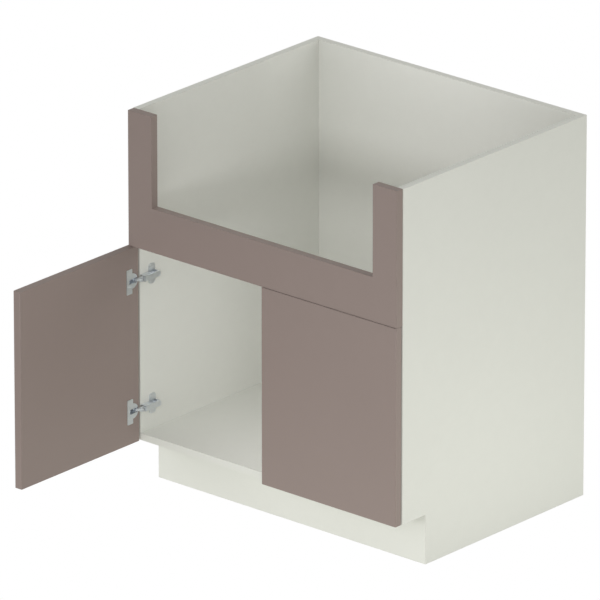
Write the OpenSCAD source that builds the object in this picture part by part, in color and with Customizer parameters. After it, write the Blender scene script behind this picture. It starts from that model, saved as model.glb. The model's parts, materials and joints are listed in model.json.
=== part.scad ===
// Sink base cabinet with two slab doors on concealed hinges.
// Millimetres. The origin is on the floor, in the middle of the back, with the front towards -Y.

/* [Cabinet] */
// width over both side panels
cabinet_width = 762; // [630:1:920]
// height from the floor to the top edges
cabinet_height = 876.3; // [725:0.1:1060]
// depth from the wall to the front edges of the side panels
cabinet_depth = 603.25; // [500:0.25:730]
// thickness of the side panels, deck, back and toe kick
board_thickness = 15.9; // [13.2:0.1:19.1]

/* [Toe kick] */
// height of the recess under the deck
toe_kick_height = 114.3; // [90:0.1:140]
// how far the toe kick stands behind the front edges
toe_kick_recess = 76.2; // [60:0.1:95]

/* [Apron fascia] */
// thickness of the fascia and of the doors
front_thickness = 19.05; // [15.8:0.05:23]
// height of the fascia from its lower edge to the top edges
fascia_height = 309.55; // [255:0.05:375]
// width of each post beside the sink cut-out
post_width = 66.75; // [55:0.25:82]
// height of the rail under the sink cut-out
rail_height = 100; // [80:1:122]

/* [Doors] */
// how far fascia and doors lap over the front edges of the side panels
front_overlay = 14.4; // [11.9:0.1:17.4]
// gap between the two closed doors
door_gap = 3; // [2:0.1:4]
// gap between the doors and the fascia
fascia_gap = 0.6; // [0.5:0.1:3]
// gap between a closed door and the side panels
door_standoff = 1.5; // [1.4:0.1:1.8]
// radius on the upright edges of the doors
door_edge_radius = 1.5; // [1.2:0.1:2]
// how far the left door stands open, in degrees
left_opening = 90; // [0:1:95]
// how far the right door stands open, in degrees
right_opening = 0; // [0:1:95]

/* [Hinges] */
// height of the lower hinges above the lower edges of the doors
lower_hinge_rise = 75.3; // [60:0.1:95]
// distance of the upper hinges below the upper edges of the doors
upper_hinge_drop = 75.95; // [60:0.05:90]
// diameter of the cup in the door
cup_diameter = 35; // [29:0.5:42]
// depth of the cup in the door
cup_depth = 12.6; // [10.5:0.1:14]
// distance from the edge of the door to the rim of the cup
cup_tab = 4; // [3.6:0.1:4.4]
// length of the hinge arm along the side panel
arm_length = 49; // [46:0.5:60]
// how far the arm stands off the side panel
arm_reach = 15.2; // [14.8:0.1:18]
// length of the mounting plate up and down the side panel
plate_length = 46; // [42:1:64]
// distance from the front edge of the side panel to the middle of the mounting plate
plate_setback = 37.7; // [36:0.1:40]

/* [Links] */
// thickness of the inner link
inner_link_thickness = 3; // [2.4:0.1:3.6]
// thickness of each plate of the outer link
outer_link_thickness = 1.2; // [0.9:0.1:1.6]
// thickness of the cheeks that carry the arm pins
cheek_thickness = 0.8; // [0.7:0.1:1.2]
// diameter of the hinge pins
pin_diameter = 2.2; // [1.8:0.1:2.6]

/* [Dowels] */
// diameter of the wooden dowels in the carcass joints
dowel_diameter = 8; // [6:0.5:9]
// length of the wooden dowels
dowel_length = 30; // [26:1:36]
// how deep a dowel sits in the face of a board
dowel_face_depth = 10.5; // [8:0.5:11.5]

/* [Hidden] */
$fn = 64;
// how far every cut runs past the surface that it opens
overrun = 1;

half_width = cabinet_width / 2;
side_reveal = board_thickness - front_overlay;
deck_height = toe_kick_height;
inside_width = cabinet_width - 2 * board_thickness;
inside_depth = cabinet_depth - board_thickness;
fascia_bottom = cabinet_height - fascia_height;
fascia_width = cabinet_width - 2 * side_reveal;
cutout_width = fascia_width - 2 * post_width;
cutout_height = fascia_height - rail_height;
door_bottom = toe_kick_height;
door_height = fascia_bottom - fascia_gap - door_bottom;
door_width = half_width - side_reveal - door_gap / 2;
hinge_heights = [door_bottom + lower_hinge_rise, door_bottom + door_height - upper_hinge_drop];
lower = 0;
upper = 1;

// dowels: free space around them, at their ends, on their ends, and where they stand along each joint
dowel_play = 0.1;
dowel_end_play = 0.5;
dowel_chamfer = 1;
deck_side_shares = [0.15, 0.5, 0.85];
deck_back_shares = [-0.3, 0, 0.3];
back_side_shares = [0.22, 0.42, 0.62, 0.82];
toe_kick_side_shares = [0.3, 0.7];
toe_kick_deck_shares = [-0.35, 0, 0.35];
fascia_side_shares = [0.15, 0.5, 0.85];

// clearances inside the hinges
pin_play = 0.04;
layer_gap = 0.15;
nose_play = 0.3;
nose_side_play = 0.4;
pocket_play = 0.65;
eye_room = 0.7;
plate_play = 0.3;
press_play = 0.05;

// layers of the hinge, outwards from its middle
eye_diameter = 3.6;
nose_eye_diameter = 4;
inner_link_half = inner_link_thickness / 2;
inner_cheek_start = inner_link_half + layer_gap;
inner_cheek_end = inner_cheek_start + cheek_thickness;
outer_link_start = inner_cheek_end + layer_gap;
outer_link_end = outer_link_start + outer_link_thickness;
outer_cheek_start = outer_link_end + layer_gap;
outer_cheek_end = outer_cheek_start + cheek_thickness;
stub_start = outer_link_end + layer_gap;

// cup
cup_radius = cup_diameter / 2;
cup_centre = cup_tab + cup_radius;
cup_wall = 0.8;
cup_floor = 0.9;
cup_play = 0.15;
pocket_depth = cup_depth - cup_floor;
pocket_half = outer_cheek_end + pocket_play;
pocket_end_room = 3;
pin_seat = 1.4;
rim_notch_share = 0.256;
flange_thickness = 1.2;
flange_strip = 18;
flange_ear = 11;
flange_height = cup_diameter + 2 * flange_ear;
flange_radius = 2;
slot_length = 13.6;
slot_height = 1.8;
slot_depth = 1.5;
slot_drop = 12;
slot_offset = 1.9;
cup_dowel_diameter = 8;
cup_dowel_length = 10;
cup_dowel_end_inset = 6;
cup_dowel_inset = cup_tab + cup_diameter - flange_strip / 2;
cup_dowel_rise = flange_height / 2 - cup_dowel_end_inset;

// arm and nose
arm_wall = 1.2;
arm_height = 2 * (outer_cheek_end + nose_play + arm_wall);
arm_setback = 2;
arm_end_radius = 4;
arm_relief = 0.8;
arm_window_reach = 10.8;
nose_tail_start = -1.2;
nose_tail_end = 14;
rivet_diameter = 3;
nose_rivet_setback = 9;

// mounting plate
plate_thickness = 2.2;
wing_width = 19.2;
wing_radius = 6;
plate_boss_reach = 9;
plate_boss_half = arm_height / 2 - arm_wall - nose_play;
plate_waist_share = 0.45;
plate_boss_front = 17.7;
plate_boss_start = plate_setback - plate_boss_front;
plate_boss_end = arm_setback + arm_length - arm_wall;
plate_rivet_setback = plate_boss_start + rivet_diameter;
plate_rivet_reach = plate_boss_reach - rivet_diameter;
plate_dowel_diameter = 5;
plate_dowel_length = 10.5;
plate_dowel_end_inset = 8;
plate_dowel_rise = plate_length / 2 - plate_dowel_end_inset;

// hinge pins while the door is closed: across the cabinet from the inner face of the side panel, and
// back from its front edge; their depths are shares of the depth of the cup's pocket
outer_arm_pin_share = 0.453;
inner_arm_pin_share = 0.2137;
outer_cup_pin_share = 0.641;
inner_cup_pin_share = 0.2735;
arm_pin_spacing = 3.8;
cup_pin_spacing = 1.7;
inner_arm_pin_across = arm_reach - arm_wall - nose_side_play - nose_eye_diameter / 2;
outer_arm_pin_across = inner_arm_pin_across - arm_pin_spacing;
outer_cup_pin_across = cup_tab + cup_wall + eye_diameter / 2 + eye_room - front_overlay;
inner_cup_pin_across = outer_cup_pin_across + cup_pin_spacing;
outer_arm_pin = in_cup(outer_arm_pin_across, outer_arm_pin_share);
inner_arm_pin = in_cup(inner_arm_pin_across, inner_arm_pin_share);
outer_cup_pin = in_cup(outer_cup_pin_across, outer_cup_pin_share);
inner_cup_pin = in_cup(inner_cup_pin_across, inner_cup_pin_share);
pocket_reach = inner_arm_pin.x + nose_eye_diameter / 2 + front_overlay + pocket_end_room;

// links: how far each turns for one degree of the door, and their bends as shares of the way from
// cup pin to arm pin and of the depth of the pocket
outer_link_turn_share = 0.174;
inner_link_turn_share = 0.401;
outer_link_bend_shares = [[0.094, 0.795], [0.349, 0.88], [0.617, 0.829], [0.852, 0.658]];
inner_link_bend_shares = [[0.118, 0.47], [0.353, 0.521], [0.647, 0.402]];
link_width = 2.2;
link_inset = 1.2;

board_colour = [0.82, 0.82, 0.78];
front_colour = [0.53, 0.48, 0.46];
steel_colour = [0.6, 0.6, 0.58];
wood_colour = [0.8, 0.65, 0.45];
nylon_colour = [0.9, 0.9, 0.88];

function turned(vector, angle) =
    [vector.x * cos(angle) - vector.y * sin(angle), vector.x * sin(angle) + vector.y * cos(angle)];
function in_cup(across, share) = [across, -door_standoff - share * pocket_depth];
function link_bends(start, end, bends) =
    [for (bend = bends) in_cup(start.x + bend.x * (end.x - start.x), bend.y)];
function across(start, end) = turned(end - start, 90) / norm(end - start);
function towards(start, end) = start + (end - start) * link_inset / norm(end - start);
function edge_point(path, i, reach) =
    let (
        before = across(path[max(i - 1, 0)], path[max(i, 1)]),
        after = across(path[min(i, len(path) - 2)], path[min(i + 1, len(path) - 1)])
    )
    path[i] + reach * (before + after) / (1 + before * after);

// where the outer cup pin is when the door stands open
function moved_cup_pin(opening) =
    outer_arm_pin + turned(outer_cup_pin - outer_arm_pin, outer_link_turn_share * opening);

module both_sides() {
    children();
    mirror([1, 0, 0]) children();
}

module both_layers() {
    children();
    mirror([0, 0, 1]) children();
}

// from the hinge's own place to the cabinet
module on_side(right) {
    mirror([right ? 1 : 0, 0, 0])
        translate([board_thickness - half_width, -cabinet_depth, 0])
            children();
}

module with_door(right) {
    opening = right ? right_opening : left_opening;
    on_side(right)
        translate(concat(moved_cup_pin(opening), 0))
            rotate([0, 0, -opening])
                translate(concat(-outer_cup_pin, 0))
                    children();
}

module with_link(right, pin, turn_share) {
    opening = right ? right_opening : left_opening;
    on_side(right)
        translate(concat(pin, 0))
            rotate([0, 0, turn_share * opening])
                translate(concat(-pin, 0))
                    children();
}

module at_hinges() {
    for (height = hinge_heights) translate([0, 0, height]) children();
}

// from the door's edge, up the door and into it
module on_door_face() {
    translate([-front_overlay, -door_standoff, 0]) rotate([90, 0, 0]) children();
}

// back from the front edge, up and inwards off the side panel
module on_panel_face() {
    rotate([90, 0, 90]) children();
}

module rounded_board(size, radius) {
    translate([radius, 0]) square([size.x - 2 * radius, size.y]);
    translate([0, radius]) square([size.x, size.y - 2 * radius]);
    for (x = [radius, size.x - radius], y = [radius, size.y - radius]) translate([x, y]) circle(radius);
}

module bar(start, end, width) {
    side = across(start, end) * width / 2;
    polygon([start + side, start - side, end - side, end + side]);
}

module dowel() {
    edge = dowel_length / 2;
    radius = dowel_diameter / 2;
    rotate_extrude()
        polygon([
            [0, -edge], [radius - dowel_chamfer, -edge], [radius, dowel_chamfer - edge],
            [radius, edge - dowel_chamfer], [radius - dowel_chamfer, edge], [0, edge]
        ]);
}

module dowel_bore() {
    cylinder(d = dowel_diameter + 2 * dowel_play, h = dowel_length + 2 * dowel_end_play, center = true);
}

module deck_dowel_places() {
    middle = deck_height + board_thickness / 2;
    both_sides()
        for (share = deck_side_shares)
            translate([
                board_thickness - half_width - dowel_face_depth + dowel_length / 2,
                -board_thickness - inside_depth * share, middle
            ])
                rotate([0, 90, 0])
                    children();
    for (share = deck_back_shares)
        translate([inside_width * share, dowel_face_depth - board_thickness - dowel_length / 2, middle])
            rotate([90, 0, 0])
                children();
}

module back_dowel_places() {
    both_sides()
        for (share = back_side_shares)
            translate([
                board_thickness - half_width - dowel_face_depth + dowel_length / 2,
                -board_thickness / 2, cabinet_height * share
            ])
                rotate([0, 90, 0])
                    children();
}

module toe_kick_dowel_places() {
    back_face = toe_kick_recess + board_thickness - cabinet_depth;
    both_sides()
        for (share = toe_kick_side_shares)
            translate([
                board_thickness / 2 - half_width, back_face - dowel_face_depth + dowel_length / 2,
                toe_kick_height * share
            ])
                rotate([90, 0, 0])
                    children();
    for (share = toe_kick_deck_shares)
        translate([
            cabinet_width * share, back_face - board_thickness / 2,
            deck_height + dowel_face_depth - dowel_length / 2
        ])
            children();
}

module fascia_dowel_places() {
    both_sides()
        for (share = fascia_side_shares)
            translate([
                board_thickness / 2 - half_width, dowel_length / 2 - dowel_face_depth - cabinet_depth,
                fascia_bottom + fascia_height * share
            ])
                rotate([90, 0, 0])
                    children();
}

module side_panel(right) {
    color(board_colour)
        difference() {
            mirror([right ? 1 : 0, 0, 0])
                difference() {
                    translate([-half_width, -cabinet_depth, 0])
                        cube([board_thickness, cabinet_depth, cabinet_height]);
                    translate([-half_width - overrun, -cabinet_depth - overrun, -overrun])
                        cube([
                            board_thickness + 2 * overrun, toe_kick_recess + board_thickness + overrun,
                            toe_kick_height + overrun
                        ]);
                }
            deck_dowel_places() dowel_bore();
            back_dowel_places() dowel_bore();
            toe_kick_dowel_places() dowel_bore();
            fascia_dowel_places() dowel_bore();
            on_side(right) at_hinges() plate_dowel_places() plate_dowel_bore();
        }
}

module left_side_panel() {
    side_panel(false);
}

module right_side_panel() {
    side_panel(true);
}

module bottom_deck() {
    color(board_colour)
        difference() {
            translate([-inside_width / 2, -cabinet_depth, deck_height])
                cube([inside_width, inside_depth, board_thickness]);
            deck_dowel_places() dowel_bore();
            toe_kick_dowel_places() dowel_bore();
        }
}

module back_panel() {
    color(board_colour)
        difference() {
            translate([-inside_width / 2, -board_thickness, 0])
                cube([inside_width, board_thickness, cabinet_height]);
            back_dowel_places() dowel_bore();
            deck_dowel_places() dowel_bore();
        }
}

module toe_kick_board() {
    color(board_colour)
        difference() {
            translate([-half_width, toe_kick_recess - cabinet_depth, 0])
                cube([cabinet_width, board_thickness, toe_kick_height]);
            toe_kick_dowel_places() dowel_bore();
        }
}

module apron_fascia() {
    color(front_colour)
        difference() {
            translate([-fascia_width / 2, -cabinet_depth - front_thickness, fascia_bottom])
                cube([fascia_width, front_thickness, fascia_height]);
            translate([
                -cutout_width / 2, -cabinet_depth - front_thickness - overrun, fascia_bottom + rail_height
            ])
                cube([cutout_width, front_thickness + 2 * overrun, cutout_height + overrun]);
            fascia_dowel_places() dowel_bore();
        }
}

module deck_dowels() {
    color(wood_colour) deck_dowel_places() dowel();
}

module back_dowels() {
    color(wood_colour) back_dowel_places() dowel();
}

module toe_kick_dowels() {
    color(wood_colour) toe_kick_dowel_places() dowel();
}

module fascia_dowels() {
    color(wood_colour) fascia_dowel_places() dowel();
}

module cup_dowel_places() {
    on_door_face()
        both_ears()
            translate([cup_dowel_inset, cup_dowel_rise, 0])
                children();
}

module both_ears() {
    children();
    mirror([0, 1, 0]) children();
}

module door_board(right) {
    color(front_colour)
        with_door(right)
            difference() {
                translate([-front_overlay, -door_standoff - front_thickness, door_bottom])
                    linear_extrude(door_height)
                        rounded_board([door_width, front_thickness], door_edge_radius);
                at_hinges() {
                    on_door_face()
                        translate([cup_centre, 0, -overrun])
                            cylinder(r = cup_radius + cup_play, h = cup_depth + cup_play + overrun);
                    cup_dowel_places()
                        translate([0, 0, -overrun])
                            cylinder(
                                d = cup_dowel_diameter + 2 * dowel_play,
                                h = cup_dowel_length + dowel_end_play + overrun
                            );
                }
            }
}

module left_door() {
    door_board(false);
}

module right_door() {
    door_board(true);
}

module flange_outline() {
    translate([cup_centre, 0]) circle(cup_radius);
    translate([cup_tab + cup_diameter - flange_strip, -flange_height / 2])
        rounded_board([flange_strip, flange_height], flange_radius);
}

module pocket_outline() {
    intersection() {
        translate([cup_centre, 0]) circle(cup_radius - cup_wall);
        translate([0, -pocket_half]) square([pocket_reach, 2 * pocket_half]);
    }
}

module pin_holes(pins, half_length) {
    for (pin = pins)
        translate(concat(pin, 0))
            cylinder(d = pin_diameter + 2 * pin_play, h = 2 * half_length, center = true);
}

module cup(right, level) {
    color(steel_colour)
        with_door(right)
            translate([0, 0, hinge_heights[level]])
                difference() {
                    on_door_face()
                        difference() {
                            union() {
                                translate([cup_centre, 0, 0]) cylinder(r = cup_radius, h = cup_depth);
                                translate([0, 0, -flange_thickness])
                                    linear_extrude(flange_thickness)
                                        flange_outline();
                            }
                            translate([0, 0, -flange_thickness - overrun])
                                linear_extrude(flange_thickness + overrun + pocket_depth)
                                    pocket_outline();
                            translate([
                                cup_dowel_inset - slot_offset - slot_length / 2,
                                -slot_drop - slot_height / 2, -flange_thickness - overrun
                            ])
                                cube([slot_length, slot_height, slot_depth + overrun]);
                            translate([0, -pocket_half, -flange_thickness - overrun])
                                cube([
                                    cup_centre, 2 * pocket_half,
                                    flange_thickness + overrun + rim_notch_share * pocket_depth
                                ]);
                        }
                    pin_holes([outer_cup_pin, inner_cup_pin], pocket_half + pin_seat + pin_play);
                }
}

module arm(right, level) {
    color(steel_colour)
        on_side(right)
            translate([0, 0, hinge_heights[level]])
                difference() {
                    on_panel_face()
                        linear_extrude(arm_reach)
                            arm_side();
                    translate([-overrun, arm_setback - overrun, arm_wall - arm_height / 2])
                        cube([
                            arm_reach - arm_wall + overrun, arm_length + 2 * overrun,
                            arm_height - 2 * arm_wall
                        ]);
                    translate([-overrun, plate_boss_start, -arm_height])
                        cube([arm_relief + overrun, arm_length, 2 * arm_height]);
                    translate([-overrun, plate_setback - wing_width / 2 - plate_play, -arm_height])
                        cube([
                            arm_window_reach + overrun, wing_width + 2 * plate_play, 2 * arm_height
                        ]);
                    rivet_places() rivet_bore();
                }
}

module arm_side() {
    translate([arm_setback, -arm_height / 2]) {
        square([arm_length / 2, arm_height]);
        rounded_board([arm_length, arm_height], arm_end_radius);
    }
}

module rivet_places() {
    translate([(outer_arm_pin.x + inner_arm_pin.x) / 2, nose_rivet_setback, 0]) children();
    translate([plate_rivet_reach, plate_rivet_setback, 0]) children();
}

module rivet_bore() {
    cylinder(d = rivet_diameter + 2 * press_play, h = arm_height + 2 * overrun, center = true);
}

module nose_outline() {
    eye = nose_eye_diameter / 2;
    for (pin = [outer_arm_pin, inner_arm_pin]) translate(pin) circle(eye);
    bar(outer_arm_pin, inner_arm_pin, nose_eye_diameter);
    polygon([
        [outer_arm_pin.x - eye, outer_arm_pin.y], [inner_arm_pin.x + eye, inner_arm_pin.y],
        [inner_arm_pin.x + eye, nose_tail_start + eye], [outer_arm_pin.x - eye, nose_tail_start + eye]
    ]);
}

module nose(right, level) {
    eye = nose_eye_diameter / 2;
    color(steel_colour)
        on_side(right)
            translate([0, 0, hinge_heights[level]])
                difference() {
                    union() {
                        both_layers()
                            for (start = [inner_cheek_start, outer_cheek_start])
                                translate([0, 0, start])
                                    linear_extrude(cheek_thickness)
                                        nose_outline();
                        translate([outer_arm_pin.x - eye, nose_tail_start, -outer_cheek_end])
                            cube([
                                inner_arm_pin.x - outer_arm_pin.x + 2 * eye,
                                nose_tail_end - nose_tail_start, 2 * outer_cheek_end
                            ]);
                    }
                    pin_holes([outer_arm_pin, inner_arm_pin], outer_cheek_end + overrun);
                    rivet_places() rivet_bore();
                }
}

module link_plate(cup_pin, arm_pin, bends, thickness) {
    middle = link_bends(cup_pin, arm_pin, bends);
    path = concat([towards(cup_pin, middle[0])], middle, [towards(arm_pin, middle[len(middle) - 1])]);
    last = len(path) - 1;
    difference() {
        union() {
            linear_extrude(thickness)
                polygon(concat(
                    [for (i = [0 : last]) edge_point(path, i, link_width / 2)],
                    [for (i = [0 : last]) edge_point(path, last - i, -link_width / 2)]
                ));
            for (pin = [cup_pin, arm_pin]) translate(pin) cylinder(d = eye_diameter, h = thickness);
        }
        for (pin = [cup_pin, arm_pin])
            translate(concat(pin, -overrun))
                cylinder(d = pin_diameter + 2 * pin_play, h = thickness + 2 * overrun);
    }
}

module outer_link(right, level) {
    color(steel_colour)
        with_link(right, outer_arm_pin, outer_link_turn_share)
            translate([0, 0, hinge_heights[level]])
                both_layers()
                    translate([0, 0, outer_link_start])
                        link_plate(
                            outer_cup_pin, outer_arm_pin, outer_link_bend_shares, outer_link_thickness
                        );
}

module inner_link(right, level) {
    color(steel_colour)
        with_link(right, inner_arm_pin, inner_link_turn_share)
            translate([0, 0, hinge_heights[level] - inner_link_half])
                link_plate(inner_cup_pin, inner_arm_pin, inner_link_bend_shares, inner_link_thickness);
}

module arm_pins(right) {
    color(steel_colour)
        on_side(right)
            at_hinges() {
                translate(concat(inner_arm_pin, 0))
                    cylinder(d = pin_diameter, h = 2 * inner_cheek_end, center = true);
                both_layers()
                    translate(concat(outer_arm_pin, inner_cheek_start))
                        cylinder(d = pin_diameter, h = outer_cheek_end - inner_cheek_start);
            }
}

module cup_pins(right) {
    color(steel_colour)
        with_door(right)
            at_hinges()
                both_layers() {
                    translate(concat(outer_cup_pin, outer_link_start))
                        cylinder(d = pin_diameter, h = pocket_half + pin_seat - outer_link_start);
                    translate(concat(inner_cup_pin, stub_start))
                        cylinder(d = pin_diameter, h = pocket_half + pin_seat - stub_start);
                }
}

module cup_dowels(right) {
    color(nylon_colour)
        with_door(right)
            at_hinges()
                cup_dowel_places()
                    cylinder(d = cup_dowel_diameter, h = cup_dowel_length);
}

module plate_dowel_places() {
    both_layers()
        translate([0, plate_setback, plate_dowel_rise])
            rotate([0, -90, 0])
                children();
}

module plate_dowel_bore() {
    translate([0, 0, -overrun])
        cylinder(
            d = plate_dowel_diameter + 2 * press_play, h = plate_dowel_length + press_play + overrun
        );
}

// the block inside the arm, waisted where the wings leave it
module plate_boss() {
    difference() {
        translate([0, plate_boss_start, -plate_boss_half])
            cube([plate_boss_reach, plate_boss_end - plate_boss_start, 2 * plate_boss_half]);
        both_layers()
            translate([
                plate_thickness, plate_setback - wing_width / 2, plate_waist_share * plate_boss_half
            ])
                cube([plate_boss_reach, wing_width, plate_boss_half]);
    }
}

module mounting_plate(right, level) {
    color(steel_colour)
        on_side(right)
            translate([0, 0, hinge_heights[level]])
                difference() {
                    union() {
                        on_panel_face()
                            translate([plate_setback - wing_width / 2, -plate_length / 2, 0])
                                linear_extrude(plate_thickness)
                                    rounded_board([wing_width, plate_length], wing_radius);
                        plate_boss();
                    }
                    rivet_places() rivet_bore();
                }
}

module plate_dowels(right) {
    color(nylon_colour)
        on_side(right)
            at_hinges()
                plate_dowel_places()
                    cylinder(d = plate_dowel_diameter, h = plate_dowel_length);
}

module arm_rivets(right) {
    color(steel_colour)
        on_side(right)
            at_hinges()
                rivet_places()
                    cylinder(d = rivet_diameter, h = arm_height, center = true);
}

left_side_panel();
right_side_panel();
bottom_deck();
back_panel();
toe_kick_board();
apron_fascia();
deck_dowels();
back_dowels();
toe_kick_dowels();
fascia_dowels();
left_door();
right_door();
cup(false, upper);  // left_upper_cup
arm(false, upper);  // left_upper_arm
nose(false, upper);  // left_upper_nose
outer_link(false, upper);  // left_upper_outer_link
inner_link(false, upper);  // left_upper_inner_link
mounting_plate(false, upper);  // left_upper_mounting_plate
cup(false, lower);  // left_lower_cup
arm(false, lower);  // left_lower_arm
nose(false, lower);  // left_lower_nose
outer_link(false, lower);  // left_lower_outer_link
inner_link(false, lower);  // left_lower_inner_link
mounting_plate(false, lower);  // left_lower_mounting_plate
cup(true, upper);  // right_upper_cup
arm(true, upper);  // right_upper_arm
nose(true, upper);  // right_upper_nose
outer_link(true, upper);  // right_upper_outer_link
inner_link(true, upper);  // right_upper_inner_link
mounting_plate(true, upper);  // right_upper_mounting_plate
cup(true, lower);  // right_lower_cup
arm(true, lower);  // right_lower_arm
nose(true, lower);  // right_lower_nose
outer_link(true, lower);  // right_lower_outer_link
inner_link(true, lower);  // right_lower_inner_link
mounting_plate(true, lower);  // right_lower_mounting_plate
arm_pins(false);  // left_arm_pins
arm_pins(true);  // right_arm_pins
cup_pins(false);  // left_cup_pins
cup_pins(true);  // right_cup_pins
cup_dowels(false);  // left_cup_dowels
cup_dowels(true);  // right_cup_dowels
plate_dowels(false);  // left_plate_dowels
plate_dowels(true);  // right_plate_dowels
arm_rivets(false);  // left_arm_rivets
arm_rivets(true);  // right_arm_rivets
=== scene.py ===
import json
import math

import bpy
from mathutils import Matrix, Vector


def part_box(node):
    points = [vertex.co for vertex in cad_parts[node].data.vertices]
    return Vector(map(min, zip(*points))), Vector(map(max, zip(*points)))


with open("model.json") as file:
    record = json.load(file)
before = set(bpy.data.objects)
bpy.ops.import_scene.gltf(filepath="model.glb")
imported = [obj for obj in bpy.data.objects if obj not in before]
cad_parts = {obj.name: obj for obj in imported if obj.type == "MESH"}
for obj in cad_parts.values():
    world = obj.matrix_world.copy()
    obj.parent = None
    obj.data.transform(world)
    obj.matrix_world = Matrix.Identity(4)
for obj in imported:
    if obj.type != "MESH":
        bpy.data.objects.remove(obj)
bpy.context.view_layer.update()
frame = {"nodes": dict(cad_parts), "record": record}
nodes = frame["nodes"]
slotOfNode = {part["node"]: part["material_slot"] for part in frame["record"]["subparts"]}
print("cabinet loaded:", len(nodes), "pieces")

millimetre = 0.001
levelLook = 90  # degrees: a Blender camera looks straight down until it is turned this far


photoCamera = {
    "place": (15.1245, -17.84975, 9.3346),
    "turnDegrees": 41.0747,
    "tiltDegrees": -20.997,
    "lens": 691.1,
    "sensorWidth": 36.0,
    "nearest": 0.05,
    "farthest": 400.0,
}


def addCamera(photo):
    data = bpy.data.cameras.new("photoCamera")
    data.lens = photo["lens"]
    data.sensor_width = photo["sensorWidth"]
    data.clip_start = photo["nearest"]
    data.clip_end = photo["farthest"]
    camera = bpy.data.objects.new("photoCamera", data)
    camera.location = photo["place"]
    tilt = math.radians(levelLook + photo["tiltDegrees"])
    camera.rotation_euler = (tilt, 0, math.radians(photo["turnDegrees"]))
    bpy.context.scene.collection.objects.link(camera)
    bpy.context.scene.camera = camera


addCamera(photoCamera)
bpy.context.scene.view_settings.view_transform = "Standard"
print("camera placed")


def addNode(tree, kind, inputs=None, **settings):
    node = tree.nodes.new(kind)
    for key, value in settings.items():
        setattr(node, key, value)
    for key, value in (inputs or {}).items():
        socket = node.inputs[key]
        if isinstance(value, bpy.types.NodeSocket):
            tree.links.new(value, socket)
        else:
            socket.default_value = value
    return node


def calc(tree, operation, *values):
    node = addNode(tree, "ShaderNodeMath", dict(enumerate(values)), operation=operation)
    return node.outputs[0]


def calcVector(tree, operation, *values):
    node = addNode(tree, "ShaderNodeVectorMath", dict(enumerate(values)), operation=operation)
    return node.outputs["Value" if operation in ("DOT_PRODUCT", "LENGTH") else "Vector"]


def remap(tree, value, low, high, newLow=0.0, newHigh=1.0):
    node = addNode(
        tree, "ShaderNodeMapRange",
        {"Value": value, "From Min": low, "From Max": high, "To Min": newLow, "To Max": newHigh},
        interpolation_type="SMOOTHSTEP",
    )
    return node.outputs["Result"]


noiseMiddle = 0.5  # what a noise gives on average


def noise(tree, place, scale, detail, roughness):
    node = addNode(
        tree, "ShaderNodeTexNoise",
        {"Vector": place, "Scale": scale, "Detail": detail, "Roughness": roughness},
    )
    return node.outputs["Fac"]


def aroundZero(tree, value, middle=noiseMiddle):
    return calc(tree, "SUBTRACT", value, middle)


mixShare, mixFirst, mixSecond, mixResult = 0, 6, 7, 2  # the colour sockets of the Mix node


def blendColour(tree, share, first, second, mode="MIX"):
    node = addNode(
        tree, "ShaderNodeMix", {mixShare: share, mixFirst: first, mixSecond: second},
        data_type="RGBA", blend_type=mode,
    )
    return node.outputs[mixResult]


def shadeColour(tree, plain, bright):
    shade = addNode(tree, "ShaderNodeCombineColor", {"Red": bright, "Green": bright, "Blue": bright})
    return blendColour(tree, 1.0, plain, shade.outputs[0], "MULTIPLY")


def objectPlace(tree):
    return addNode(tree, "ShaderNodeTexCoord").outputs["Object"]


def startGroup(name, inputs, outputs):
    tree = bpy.data.node_groups.new(name, "ShaderNodeTree")
    for label, kind, value in inputs:
        socket = tree.interface.new_socket(label, in_out="INPUT", socket_type=kind)
        socket.default_value = value
    for label, kind in outputs:
        tree.interface.new_socket(label, in_out="OUTPUT", socket_type=kind)
    return tree, tree.nodes.new("NodeGroupInput").outputs, tree.nodes.new("NodeGroupOutput").inputs


number, colour, vector = "NodeSocketFloat", "NodeSocketColor", "NodeSocketVector"
white = (1.0, 1.0, 1.0, 1.0)


laminate = {  # each noise is scale, detail, roughness
    "driftNoise": (3.5, 3.0, 0.5),
    "cloudNoise": (38.0, 3.0, 0.6),
    "speckleNoise": (620.0, 2.0, 0.7),
    "peelNoise": (900.0, 1.0, 0.5),
    "swellNoise": (9.0, 1.0, 0.5),
    "swellHeight": 0.06,
    "glossWander": 0.12,
}


def buildLaminateSkin():
    # pressed laminate: slow drift of tone, a fine speckle and a shallow orange peel, heights in millimetres
    tree, given, out = startGroup(
        "laminateSkin",
        [("Colour", colour, white), ("Drift", number, 0.04), ("Speckle", number, 0.03),
         ("Gloss", number, 0.5), ("Peel", number, 0.01)],
        [("Colour", colour), ("Roughness", number), ("Height", number)],
    )
    place = objectPlace(tree)
    drift = noise(tree, place, *laminate["driftNoise"])
    cloud = noise(tree, place, *laminate["cloudNoise"])
    speckle = noise(tree, place, *laminate["speckleNoise"])
    both = aroundZero(tree, calc(tree, "ADD", drift, cloud), 2 * noiseMiddle)
    tone = calc(tree, "MULTIPLY", both, given["Drift"])
    dots = calc(tree, "MULTIPLY", aroundZero(tree, speckle), given["Speckle"])
    bright = calc(tree, "ADD", calc(tree, "ADD", tone, dots), 1.0)
    tree.links.new(shadeColour(tree, given["Colour"], bright), out["Colour"])
    wander = calc(tree, "MULTIPLY", aroundZero(tree, cloud), laminate["glossWander"])
    tree.links.new(calc(tree, "ADD", given["Gloss"], wander), out["Roughness"])
    peel = calc(tree, "MULTIPLY", noise(tree, place, *laminate["peelNoise"]), given["Peel"])
    swell = calc(tree, "MULTIPLY", noise(tree, place, *laminate["swellNoise"]), laminate["swellHeight"])
    tree.links.new(calc(tree, "ADD", peel, swell), out["Height"])
    return tree


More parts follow.
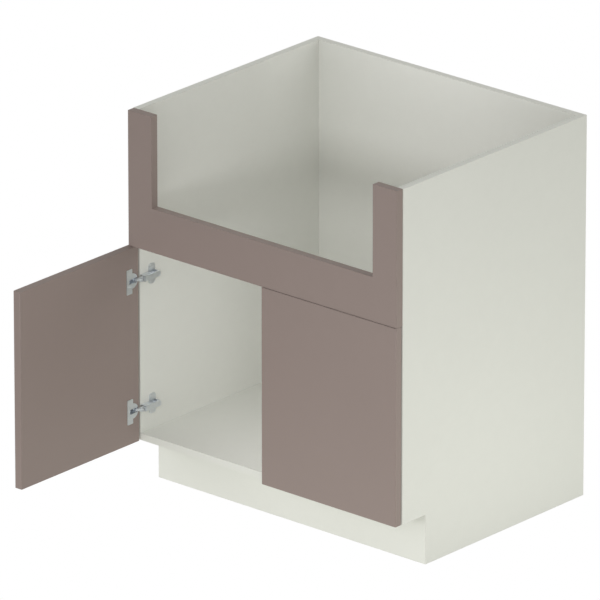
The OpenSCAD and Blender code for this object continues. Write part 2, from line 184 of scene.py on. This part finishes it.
edgeBand = {
    "faceDepth": (0.6 * millimetre, 1.2 * millimetre),  # full, faded out
    "seamHalfWidth": (0.06 * millimetre, 0.22 * millimetre),  # full, faded out
    "seamNoise": (45.0, 2.0, 0.5),
    "seamGaps": (0.35, 0.6),  # noise with no mark, noise with the full mark
    "rimNoise": (130.0, 3.0, 0.5),
    "rimGaps": (0.3, 0.75),  # likewise
    "outOfTheWay": 10.0,  # metres, past any board
}


def buildBoardEdges():
    # the seam of the edge band on a board's broad faces, and a patchy mask along the rim of every edge that
    # carries a painted edge highlight and a glossier rim
    tree, given, out = startGroup(
        "boardEdges",
        [("Low corner", vector, (0.0, 0.0, 0.0)), ("High corner", vector, (1.0, 1.0, 1.0)),
         ("Thin way", vector, (1.0, 0.0, 0.0)), ("Band", number, 0.001), ("Rim width", number, 0.002)],
        [("Seam", number), ("Rim highlight and polish", number)],
    )
    place = objectPlace(tree)
    fromLow = calcVector(tree, "SUBTRACT", place, given["Low corner"])
    fromHigh = calcVector(tree, "SUBTRACT", given["High corner"], place)
    inside = calcVector(tree, "MINIMUM", fromLow, fromHigh)
    deep = calc(tree, "ABSOLUTE", calcVector(tree, "DOT_PRODUCT", inside, given["Thin way"]))
    away = addNode(
        tree, "ShaderNodeVectorMath", {0: given["Thin way"], "Scale": edgeBand["outOfTheWay"]},
        operation="SCALE",
    )
    spread = addNode(tree, "ShaderNodeSeparateXYZ", {0: calcVector(tree, "ADD", inside, away.outputs[0])})
    acrossX, acrossY, acrossZ = spread.outputs
    flat = calc(tree, "MINIMUM", calc(tree, "MINIMUM", acrossX, acrossY), acrossZ)
    onFace, offFace = edgeBand["faceDepth"]
    broad = remap(tree, deep, offFace, onFace)
    offSeam = calc(tree, "ABSOLUTE", calc(tree, "SUBTRACT", flat, given["Band"]))
    inSeam, pastSeam = edgeBand["seamHalfWidth"]
    line = remap(tree, offSeam, pastSeam, inSeam)
    broken = remap(tree, noise(tree, place, *edgeBand["seamNoise"]), *edgeBand["seamGaps"])
    tree.links.new(calc(tree, "MULTIPLY", calc(tree, "MULTIPLY", line, broad), broken), out["Seam"])
    # mask of the rim, used for the painted edge highlight and the polish
    toRim = calc(tree, "MAXIMUM", deep, flat)
    patchy = remap(tree, noise(tree, place, *edgeBand["rimNoise"]), *edgeBand["rimGaps"])
    ragged = calc(tree, "MULTIPLY", given["Rim width"], patchy)
    tree.links.new(remap(tree, toRim, ragged, 0.0), out["Rim highlight and polish"])
    return tree


plating = {
    "rolledNoise": (2600.0, 2.0, 0.6),
    "cloudNoise": (90.0, 3.0, 0.6),
    "fineNoise": (1400.0, 2.0, 0.6),
    "rolledShare": 0.5,
    "glossWander": 0.16,
}


def buildPlatedMetal():
    # pressed steel under a thin plating: rolling marks one way, clouding and a finely varied gloss
    tree, given, out = startGroup(
        "platedMetal",
        [("Colour", colour, white), ("Clouding", number, 0.1), ("Gloss", number, 0.35),
         ("Marks", number, 0.004), ("Rolled way", vector, (1.0, 1.0, 0.08))],
        [("Colour", colour), ("Roughness", number), ("Height", number)],
    )
    place = objectPlace(tree)
    drawnOut = calcVector(tree, "MULTIPLY", place, given["Rolled way"])
    rolled = noise(tree, drawnOut, *plating["rolledNoise"])
    cloud = noise(tree, place, *plating["cloudNoise"])
    fine = noise(tree, place, *plating["fineNoise"])
    share = plating["rolledShare"]
    both = calc(tree, "ADD", calc(tree, "MULTIPLY", rolled, share), cloud)
    mixed = aroundZero(tree, both, (1 + share) * noiseMiddle)
    bright = calc(tree, "ADD", calc(tree, "MULTIPLY", mixed, given["Clouding"]), 1.0)
    tree.links.new(shadeColour(tree, given["Colour"], bright), out["Colour"])
    wander = calc(tree, "MULTIPLY", aroundZero(tree, fine), plating["glossWander"])
    tree.links.new(calc(tree, "ADD", given["Gloss"], wander), out["Roughness"])
    height = calc(tree, "MULTIPLY", calc(tree, "ADD", rolled, fine), given["Marks"])
    tree.links.new(height, out["Height"])
    return tree


laminateSkin = buildLaminateSkin()
boardEdges = buildBoardEdges()
platedMetal = buildPlatedMetal()
print("shared finishes built")


def startMaterial(name):
    material = bpy.data.materials.new(name)
    material.use_nodes = True
    tree = material.node_tree
    return material, tree, tree.nodes["Principled BSDF"]


def placeGroup(tree, group, inputs):
    node = tree.nodes.new("ShaderNodeGroup")
    node.node_tree = group
    for key, value in inputs.items():
        if isinstance(value, bpy.types.NodeSocket):
            tree.links.new(value, node.inputs[key])
        else:
            node.inputs[key].default_value = value
    return node.outputs


def raiseSurface(tree, shader, height):
    bump = addNode(tree, "ShaderNodeBump", {"Height": height, "Distance": millimetre, "Strength": 1.0})
    tree.links.new(bump.outputs["Normal"], shader.inputs["Normal"])


def giveMaterial(piece, material):
    piece.data.materials.clear()
    piece.data.materials.append(material)


def thinWay(low, high):
    size = high - low
    thinnest = min(range(3), key=lambda i: size[i])
    return [1.0 if i == thinnest else 0.0 for i in range(3)]


carcassBoard = {
    "slot": "carcass_board",
    "colour": (0.80, 0.806, 0.762, 1.0),
    "drift": 0.035,
    "speckle": 0.05,
    "gloss": 0.52,
    "peel": 0.012,
    "bandThickness": 1.0 * millimetre,
    "rimWidth": 1.4 * millimetre,
    "seamColour": (0.42, 0.41, 0.36, 1.0),
    # lighter rim colour: painted edge highlight
    "rimHighlightColour": (0.827, 0.832, 0.791, 1.0),
    "bevel": 0.4 * millimetre,
}

frontBoard = {
    "slot": "front_board",
    "colour": (0.304, 0.241, 0.222, 1.0),
    "drift": 0.04,
    "speckle": 0.06,
    "gloss": 0.48,
    "peel": 0.014,
    "bandThickness": 1.3 * millimetre,
    "rimWidth": 1.6 * millimetre,
    "seamColour": (0.12, 0.095, 0.085, 1.0),
    # lighter rim colour: painted edge highlight
    "rimHighlightColour": (0.328, 0.27, 0.242, 1.0),
    "bevel": 0.1 * millimetre,
}

# edge seam (a real dark joint) and rim: the rim's colour share is a painted edge highlight, its polish a
# lower roughness
edgeSeamAndHighlight = {
    "rimHighlightShows": 0.35,
    "seamShows": 0.55,
    "rimPolish": 0.1,
    "seamDepth": 0.05,  # millimetres
}


def faceBoard(name, board):
    low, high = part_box(name)
    material, tree, shader = startMaterial(board["slot"] + "." + name)
    skin = placeGroup(tree, laminateSkin, {
        "Colour": board["colour"], "Drift": board["drift"], "Speckle": board["speckle"],
        "Gloss": board["gloss"], "Peel": board["peel"],
    })
    edges = placeGroup(tree, boardEdges, {
        "Low corner": low, "High corner": high, "Thin way": thinWay(low, high),
        "Band": board["bandThickness"], "Rim width": board["rimWidth"],
    })
    # painted edge highlight: the rim is blended towards a lighter colour
    highlightShare = calc(tree, "MULTIPLY", edges["Rim highlight and polish"], edgeSeamAndHighlight["rimHighlightShows"])
    highlighted = blendColour(tree, highlightShare, skin["Colour"], board["rimHighlightColour"])
    seamShare = calc(tree, "MULTIPLY", edges["Seam"], edgeSeamAndHighlight["seamShows"])
    seamed = blendColour(tree, seamShare, highlighted, board["seamColour"])
    tree.links.new(seamed, shader.inputs["Base Color"])
    polish = calc(tree, "MULTIPLY", edges["Rim highlight and polish"], edgeSeamAndHighlight["rimPolish"])
    tree.links.new(calc(tree, "SUBTRACT", skin["Roughness"], polish), shader.inputs["Roughness"])
    groove = calc(tree, "MULTIPLY", edges["Seam"], edgeSeamAndHighlight["seamDepth"])
    raiseSurface(tree, shader, calc(tree, "SUBTRACT", skin["Height"], groove))
    giveMaterial(nodes[name], material)


easedEdge = {
    "weldReach": 0.01 * millimetre,
    "steps": 2,
    "sharpDegrees": 50,
}


def easeEdges(name, width):
    # tooling leaves no edge quite sharp
    weld = nodes[name].modifiers.new("weld", "WELD")
    weld.merge_threshold = easedEdge["weldReach"]
    bevel = nodes[name].modifiers.new("easedEdge", "BEVEL")
    bevel.width = width
    bevel.segments = easedEdge["steps"]
    bevel.limit_method = "ANGLE"
    bevel.angle_limit = math.radians(easedEdge["sharpDegrees"])
    bevel.harden_normals = True


for name, slot in slotOfNode.items():
    for board in (carcassBoard, frontBoard):
        if slot == board["slot"]:
            faceBoard(name, board)
            easeEdges(name, board["bevel"])
print("boards faced")


hingeSteel = {
    "slot": "hinge_steel",
    "colour": (0.775, 0.81, 0.85, 1.0),
    "clouding": 0.22,
    "gloss": 0.34,
    "marks": 0.004,
    "rolledWay": (1.0, 1.0, 0.08),
}

fastenerSteel = {
    "slot": "fastener_steel",
    "colour": (0.72, 0.73, 0.73, 1.0),
    "clouding": 0.3,
    "gloss": 0.28,
    "marks": 0.002,
    "rolledWay": (1.0, 1.0, 1.0),
}


def buildSteel(steel):
    material, tree, shader = startMaterial(steel["slot"])
    plated = placeGroup(tree, platedMetal, {
        "Colour": steel["colour"], "Clouding": steel["clouding"], "Gloss": steel["gloss"],
        "Marks": steel["marks"], "Rolled way": steel["rolledWay"],
    })
    tree.links.new(plated["Colour"], shader.inputs["Base Color"])
    tree.links.new(plated["Roughness"], shader.inputs["Roughness"])
    shader.inputs["Metallic"].default_value = 1.0
    raiseSurface(tree, shader, plated["Height"])
    return material


beechDowel = {
    "slot": "dowel_wood",
    "pale": (0.66, 0.48, 0.29, 1.0),
    "dark": (0.47, 0.30, 0.16, 1.0),
    "poreNoise": (1500.0, 3.0, 0.7),
    "growthNoise": (160.0, 3.0, 0.6),
    "poreShare": 0.5,
    "figureSpan": (0.5, 1.0),
    "gloss": 0.60,
    "poreGloss": 0.15,
    "poreHeight": 0.05,
}


def buildBeech(beech):
    material, tree, shader = startMaterial(beech["slot"])
    place = objectPlace(tree)
    pores = noise(tree, place, *beech["poreNoise"])
    growth = noise(tree, place, *beech["growthNoise"])
    grain = calc(tree, "ADD", calc(tree, "MULTIPLY", pores, beech["poreShare"]), growth)
    figure = remap(tree, grain, *beech["figureSpan"])
    tree.links.new(blendColour(tree, figure, beech["pale"], beech["dark"]), shader.inputs["Base Color"])
    rough = calc(tree, "ADD", calc(tree, "MULTIPLY", pores, beech["poreGloss"]), beech["gloss"])
    tree.links.new(rough, shader.inputs["Roughness"])
    raiseSurface(tree, shader, calc(tree, "MULTIPLY", pores, beech["poreHeight"]))
    return material


nylonDowel = {
    "slot": "dowel_nylon",
    "colour": (0.78, 0.77, 0.72, 1.0),
    "shaded": (0.66, 0.65, 0.60, 1.0),
    "cloudNoise": (220.0, 3.0, 0.6),
    "gloss": 0.35,
    "cloudGloss": 0.14,
    "skinNoise": (1800.0, 1.0, 0.5),
    "skinHeight": 0.008,
}


def buildNylon(nylon):
    material, tree, shader = startMaterial(nylon["slot"])
    place = objectPlace(tree)
    cloud = noise(tree, place, *nylon["cloudNoise"])
    tree.links.new(blendColour(tree, cloud, nylon["colour"], nylon["shaded"]), shader.inputs["Base Color"])
    rough = calc(tree, "ADD", calc(tree, "MULTIPLY", cloud, nylon["cloudGloss"]), nylon["gloss"])
    tree.links.new(rough, shader.inputs["Roughness"])
    skin = noise(tree, place, *nylon["skinNoise"])
    raiseSurface(tree, shader, calc(tree, "MULTIPLY", skin, nylon["skinHeight"]))
    return material


smallFinishes = {
    hingeSteel["slot"]: buildSteel(hingeSteel),
    fastenerSteel["slot"]: buildSteel(fastenerSteel),
    beechDowel["slot"]: buildBeech(beechDowel),
    nylonDowel["slot"]: buildNylon(nylonDowel),
}
for name, slot in slotOfNode.items():
    if slot in smallFinishes:
        giveMaterial(nodes[name], smallFinishes[slot])
print("hinges and dowels finished")


studioFloor = {
    "reach": 60.0,
    "seen": 1.0,  # what the camera sees, whatever light the floor throws back
    "tint": (0.99, 1.0, 0.925, 1.0),
    "glow": 0.12,
    "pools": [
        {"middle": (0.0, -0.3, 0.0), "near": 0.6, "far": 2.0, "strength": 0.59},
        {"middle": (2.0, -0.3, 0.0), "near": 0.4, "far": 1.8, "strength": 1.14},
    ],
}


def addFloor(ground):
    reach = ground["reach"]
    corners = [(-reach, -reach, 0), (reach, -reach, 0), (reach, reach, 0), (-reach, reach, 0)]
    mesh = bpy.data.meshes.new("studioFloor")
    mesh.from_pydata(corners, [], [(0, 1, 2, 3)])
    floor = bpy.data.objects.new("studioFloor", mesh)
    bpy.context.scene.collection.objects.link(floor)
    material = bpy.data.materials.new("studioFloor")
    material.use_nodes = True
    tree = material.node_tree
    tree.nodes.clear()
    place = objectPlace(tree)
    glow = ground["glow"]
    for pool in ground["pools"]:
        away = calcVector(tree, "LENGTH", calcVector(tree, "SUBTRACT", place, pool["middle"]))
        spot = remap(tree, away, pool["near"], pool["far"], pool["strength"], 0.0)
        glow = calc(tree, "ADD", spot, glow)
    lit = addNode(tree, "ShaderNodeEmission", {"Color": ground["tint"], "Strength": glow})
    seen = addNode(tree, "ShaderNodeEmission", {"Color": white, "Strength": ground["seen"]})
    ray = addNode(tree, "ShaderNodeLightPath")
    either = addNode(tree, "ShaderNodeMixShader", {
        0: ray.outputs["Is Camera Ray"], 1: lit.outputs[0], 2: seen.outputs[0],
    })
    addNode(tree, "ShaderNodeOutputMaterial", {"Surface": either.outputs[0]})
    material.cycles.emission_sampling = "NONE"
    mesh.materials.append(material)


studioSky = {
    "tint": (1.0, 1.0, 0.965, 1.0),
    "glow": 0.18,
    "patchEdge": 0.5,  # cosine of the angle at which a patch has faded out
    "patches": [
        {"towards": (0.69, 0.69, 0.21), "strength": 1.02},
        {"towards": (0.0, -0.67, 0.74), "strength": 0.32},
        {"towards": (0.0, 0.67, 0.74), "strength": 0.42},
        {"towards": (-0.98, 0.0, 0.21), "strength": 0.38},
    ],
}


def addSky(above):
    world = bpy.data.worlds.new("studioSky")
    world.use_nodes = True
    sky = world.node_tree
    way = addNode(sky, "ShaderNodeTexCoord").outputs["Generated"]
    glow = above["glow"]
    for patch in above["patches"]:  # broad softboxes with no hard edge
        facing = calcVector(sky, "DOT_PRODUCT", way, Vector(patch["towards"]).normalized())
        spot = remap(sky, facing, above["patchEdge"], 1.0, 0.0, patch["strength"])
        glow = calc(sky, "ADD", spot, glow)
    background = sky.nodes["Background"]
    background.inputs["Color"].default_value = above["tint"]
    sky.links.new(glow, background.inputs["Strength"])
    bpy.context.scene.world = world


studioLamps = [
    {"place": (0.7, -1.6, 0.8), "aim": (-0.6, 0.9, -0.3), "size": (0.8, 0.6), "power": 0.48},
    {"place": (0.10, -0.46, 0.42), "aim": (-0.7, 0.2, -0.7), "size": (0.2, 0.15), "power": 0.37},
    {"place": (0.0, -0.25, 0.93), "aim": (0.1, 0.95, -0.1), "size": (0.48, 0.06), "power": 0.13},
    # the three big ones stand well in front, and their low light draws the soft dark band inside
    {"place": (0.5, -3.5, 0.8), "aim": (-0.1, 1.0, 0.0), "size": (6.0, 0.5), "power": 42.0},
    {"place": (0.5, -3.5, 1.7), "aim": (-0.1, 1.0, -0.25), "size": (6.0, 0.6), "power": 14.7},
    {"place": (2.6, -3.2, 1.0), "aim": (-0.65, 0.75, -0.05), "size": (1.6, 0.7), "power": 4.3},
]


def addLamp(lamp):
    light = bpy.data.lights.new("studioLamp", "AREA")
    light.shape = "RECTANGLE"
    light.size, light.size_y = lamp["size"]
    light.energy = lamp["power"]
    holder = bpy.data.objects.new("studioLamp", light)
    holder.location = lamp["place"]
    holder.rotation_euler = Vector(lamp["aim"]).to_track_quat("-Z", "Y").to_euler()
    holder.visible_camera = False
    bpy.context.scene.collection.objects.link(holder)


addFloor(studioFloor)
addSky(studioSky)
for lamp in studioLamps:
    addLamp(lamp)
print("studio lit")
